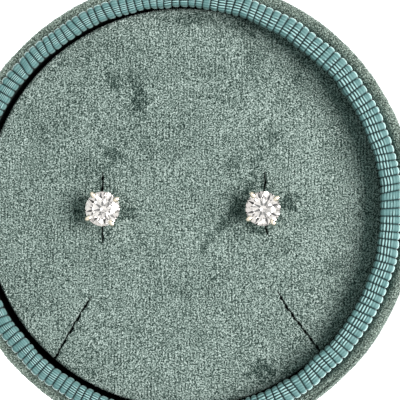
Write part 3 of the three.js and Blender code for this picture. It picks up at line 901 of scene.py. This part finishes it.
def make_stone(side, material):
    """The CAD stone's own facets, flat and joined where they lie in one plane."""
    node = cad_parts[f"stud_{side}_stone"]
    bm = bmesh.new()
    bm.from_mesh(node.data)
    bm.transform(Matrix.Scale(1000, 4))
    bmesh.ops.remove_doubles(bm, verts=bm.verts, dist=0.0005)
    bmesh.ops.dissolve_limit(bm, angle_limit=math.radians(0.4), verts=bm.verts, edges=bm.edges)
    bmesh.ops.recalc_face_normals(bm, faces=bm.faces)
    for f in bm.faces:
        f.smooth = False
    bm.transform(Matrix.Scale(0.001, 4))
    me = bpy.data.meshes.new(f"stone_{side}")
    bm.to_mesh(me)
    bm.free()
    ob = bpy.data.objects.new(f"stone_{side}", me)
    scene.collection.objects.link(ob)
    me.materials.append(material)
    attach(ob, "root")
    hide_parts(f"stud_{side}_stone")
    return ob


def make_setting(side, at, material):
    parts = []
    turn0 = math.radians(PRONG_DEG[side])
    for i in range(4):
        turn = turn0 + i * math.pi / 2
        line = spline([(q["r"], q["z"]) for q in PRONG], 6)
        wire = np.interp(np.arange(len(line)) / 6, np.arange(len(PRONG)), [q["wire"] for q in PRONG])
        route = np.column_stack([line[:, 0] * math.cos(turn), line[:, 0] * math.sin(turn), line[:, 1]])
        parts.append(tube(route, wire))
        parts.append(ellipsoid((2.84 * math.cos(turn), 2.84 * math.sin(turn), 25.03), (0.66, 0.47, 0.4), turn))
    a = np.linspace(0, TAU, 73)[:-1]
    # gallery rail
    ring = []
    sec = np.arange(16) * TAU / 16
    verts = np.array([((1.93 + 0.24 * math.cos(s)) * math.cos(x), (1.93 + 0.24 * math.cos(s)) * math.sin(x), 23.28 + 0.26 * math.sin(s)) for x in a for s in sec])
    i = np.arange(72)[:, None] * 16
    i2 = ((np.arange(72) + 1) % 72)[:, None] * 16
    j = np.arange(16)[None, :]
    k = (j + 1) % 16
    quads = np.stack([i + j, i2 + j, i2 + k, i + k], -1).reshape(-1, 4)
    parts.append((verts, np.vstack([quads[:, [0, 1, 2]], quads[:, [0, 2, 3]]])))
    parts.append(lathe([(0, 21.5), (0.66, 21.5), (0.82, 21.58), (0.88, 21.74), (0.84, 21.92), (0.7, 22.0), (0, 22.0)]))
    parts.append(lathe([(0, 11.2), (0.22, 11.22), (0.34, 11.32), (0.4, 11.5), (0.4, 12.2), (0.355, 12.35), (0.355, 12.6), (0.4, 12.75), (0.4, 21.3), (0.5, 21.55), (0, 21.7)], 28))
    verts, tris, n = [], [], 0
    for v, f in parts:
        verts.append(v)
        tris.append(f + n)
        n += len(v)
    ob = mesh_object(f"setting_{side}", np.vstack(verts), np.vstack(tris), unit=1.0)
    re = ob.modifiers.new("fuse", "REMESH")
    re.mode = "VOXEL"
    re.voxel_size = 0.06
    re.use_smooth_shade = True
    sm = ob.modifiers.new("smooth", "SMOOTH")
    sm.factor, sm.iterations = 0.5, 4
    applied(ob)
    # the seat for the stone
    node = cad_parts[f"stud_{side}_stone"]
    cutter = bpy.data.objects.new("cutter", node.data.copy())
    scene.collection.objects.link(cutter)
    cutter.data.transform(Matrix.Translation((-at[0], -at[1], 0)) @ Matrix.Scale(1000, 4))
    middle = np.array([0, 0, 24.6])
    bm = bmesh.new()
    bm.from_mesh(cutter.data)
    bmesh.ops.remove_doubles(bm, verts=bm.verts, dist=0.001)
    for q in bm.verts:
        d = np.array(q.co) - middle
        q.co = Vector(middle + d * (1 + 0.035 / max(np.linalg.norm(d), 1e-6)))
    bmesh.ops.recalc_face_normals(bm, faces=bm.faces)
    bm.to_mesh(cutter.data)
    bm.free()
    bo = ob.modifiers.new("seat", "BOOLEAN")
    bo.operation, bo.object, bo.solver = "DIFFERENCE", cutter, "EXACT"
    applied(ob)
    bpy.data.objects.remove(cutter)
    ob.data.transform(Matrix.Scale(0.001, 4) @ Matrix.Translation((at[0], at[1], 0)))
    ob.data.materials.clear()
    ob.data.materials.append(material)
    for f in ob.data.polygons:
        f.use_smooth = True
    ob.data.set_sharp_from_angle(angle=math.radians(40))
    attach(ob, "root")
    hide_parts(f"stud_{side}_setting")
    return ob


make_pad()
box_skin = make_base()
make_collar()
gold, stone = gold_material(), stone_material()
for side, at in zip(("left", "right"), STUD_AT):
    make_stone(side, stone)
    make_setting(side, at, gold)
    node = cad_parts[f"clutch_{side}"]
    node.data.materials.clear()
    node.data.materials.append(gold)


# ------------------------------------------------------------------ floor and light
def make_floor():
    n = 48
    a = np.arange(n) * TAU / n
    verts = np.vstack([[[0, 0, 0]], *[np.column_stack([r * np.cos(a), r * np.sin(a), np.zeros(n)]) for r in (60.0, 150.0, 300.0, 500.0)]])
    tris = [np.stack([np.zeros(n, int), 1 + np.arange(n), 1 + (np.arange(n) + 1) % n], 1)]
    for i in range(3):
        lo, hi = 1 + i * n + np.arange(n), 1 + (i + 1) * n + np.arange(n)
        k = (np.arange(n) + 1) % n
        tris += [np.stack([lo, hi, hi[k]], 1), np.stack([lo, hi[k], lo[k]], 1)]
    ob = mesh_object("floor", verts, np.vstack(tris))
    ob.location.z = -0.00002
    m = Nodes("floor_white")
    grain = m.noise(m.object_mm(), 0.02, 2.0)
    m.principled(m.mix(grain, (0.86, 0.86, 0.86, 1), (0.9, 0.9, 0.9, 1)), 0.9, None, Specular_IOR_Level=0.1)
    ob.data.materials.append(m.mat)
    ob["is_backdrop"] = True
    return ob


def area(name, place, aim, size, power, color=(1, 1, 1)):
    light = bpy.data.lights.new(name, "AREA")
    light.shape, light.size, light.energy, light.color = "DISK", size, power, color
    ob = bpy.data.objects.new(name, light)
    scene.collection.objects.link(ob)
    ob.location = place
    ob.rotation_mode = "QUATERNION"
    ob.rotation_quaternion = (Vector(place) - Vector(aim)).to_track_quat("Z", "Y")
    ob.visible_camera = False
    return ob


floor = make_floor()
centre = Vector((0, 0, 0.02))
key_dir = Vector((math.cos(math.radians(42)), 0.02, math.sin(math.radians(42))))
key = area("key", centre + key_dir * 0.6, centre, 0.4, 5.1)
rim_light = area("rim_light", (-0.4, -0.05, 0.42), centre, 0.4, 4.2)
floor_light = area("floor_light", (0, 0, 1.2), (0, 0, 0), 1.2, 55.0)

on_floor = bpy.data.collections.new("on_floor")
on_floor.objects.link(floor)
off_floor = bpy.data.collections.new("off_floor")
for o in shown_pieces():
    off_floor.objects.link(o)
floor_light.light_linking.receiver_collection = on_floor
key.light_linking.receiver_collection = off_floor
on_box = bpy.data.collections.new("on_box")
on_box.objects.link(box_skin)
rim_light.light_linking.receiver_collection = on_box


def make_world():
    world = bpy.data.worlds.new("studio")
    scene.world = world
    world.use_nodes = True
    nt = world.node_tree
    nt.nodes.clear()
    out = nt.nodes.new("ShaderNodeOutputWorld")
    bg = nt.nodes.new("ShaderNodeBackground")
    path = nt.nodes.new("ShaderNodeLightPath")
    coord = nt.nodes.new("ShaderNodeTexCoord")
    sep = nt.nodes.new("ShaderNodeSeparateXYZ")
    nt.links.new(coord.outputs["Generated"], sep.inputs[0])

    def calc(op, a, b=None):
        n = nt.nodes.new("ShaderNodeMath")
        n.operation = op
        for value, socket in ((a, n.inputs[0]), (b, n.inputs[1])):
            if value is None:
                continue
            if isinstance(value, bpy.types.NodeSocket):
                nt.links.new(value, socket)
            else:
                socket.default_value = value
        return n.outputs[0]

    fill = 0.3
    # what polished things mirror: a bright ceiling with darker gaps between its panels
    def panels(scale, low, high, dark):
        noise = nt.nodes.new("ShaderNodeTexNoise")
        nt.links.new(coord.outputs["Generated"], noise.inputs["Vector"])
        noise.inputs["Scale"].default_value = scale
        noise.inputs["Detail"].default_value = 1.0
        n = nt.nodes.new("ShaderNodeMapRange")
        n.interpolation_type = "SMOOTHSTEP"
        nt.links.new(noise.outputs["Fac"], n.inputs[0])
        for i, value in enumerate((low, high, dark, 1.0)):
            n.inputs[i + 1].default_value = value
        return n.outputs[0]

    def rising(low, high, dark, bright):
        n = nt.nodes.new("ShaderNodeMapRange")
        n.interpolation_type = "SMOOTHSTEP"
        nt.links.new(sep.outputs[2], n.inputs[0])
        for i, value in enumerate((low, high, dark, bright)):
            n.inputs[i + 1].default_value = value
        return n.outputs[0]

    metal = calc("MULTIPLY", rising(-0.1, 0.7, 0.08, 1.2), panels(2.2, 0.4, 0.52, 0.4))
    # a stone looks back at the camera's own dark shape overhead
    gem = calc("MULTIPLY", rising(-0.05, 0.25, 0.2, 1.08), rising(0.95, 0.975, 1.0, 0.03))
    gem = calc("MULTIPLY", gem, panels(3.0, 0.36, 0.45, 0.4))
    lit = path.outputs["Is Camera Ray"]
    strength = calc("ADD", fill, calc("MULTIPLY", lit, 1.0 - fill))
    clear = path.outputs["Is Transmission Ray"]
    mirrored = calc("MULTIPLY", path.outputs["Is Glossy Ray"], calc("SUBTRACT", 1.0, clear))
    strength = calc("ADD", strength, calc("MULTIPLY", mirrored, calc("SUBTRACT", metal, fill)))
    strength = calc("ADD", strength, calc("MULTIPLY", clear, calc("SUBTRACT", gem, fill)))
    nt.links.new(strength, bg.inputs["Strength"])
    cool = nt.nodes.new("ShaderNodeMix")
    cool.data_type = "RGBA"
    nt.links.new(path.outputs["Is Diffuse Ray"], cool.inputs["Factor"])
    cool.inputs[6].default_value = (1, 1, 1, 1)
    cool.inputs[7].default_value = (0.76, 1.02, 1.0, 1)
    nt.links.new(cool.outputs[2], bg.inputs["Color"])
    nt.links.new(bg.outputs[0], out.inputs["Surface"])


make_world()
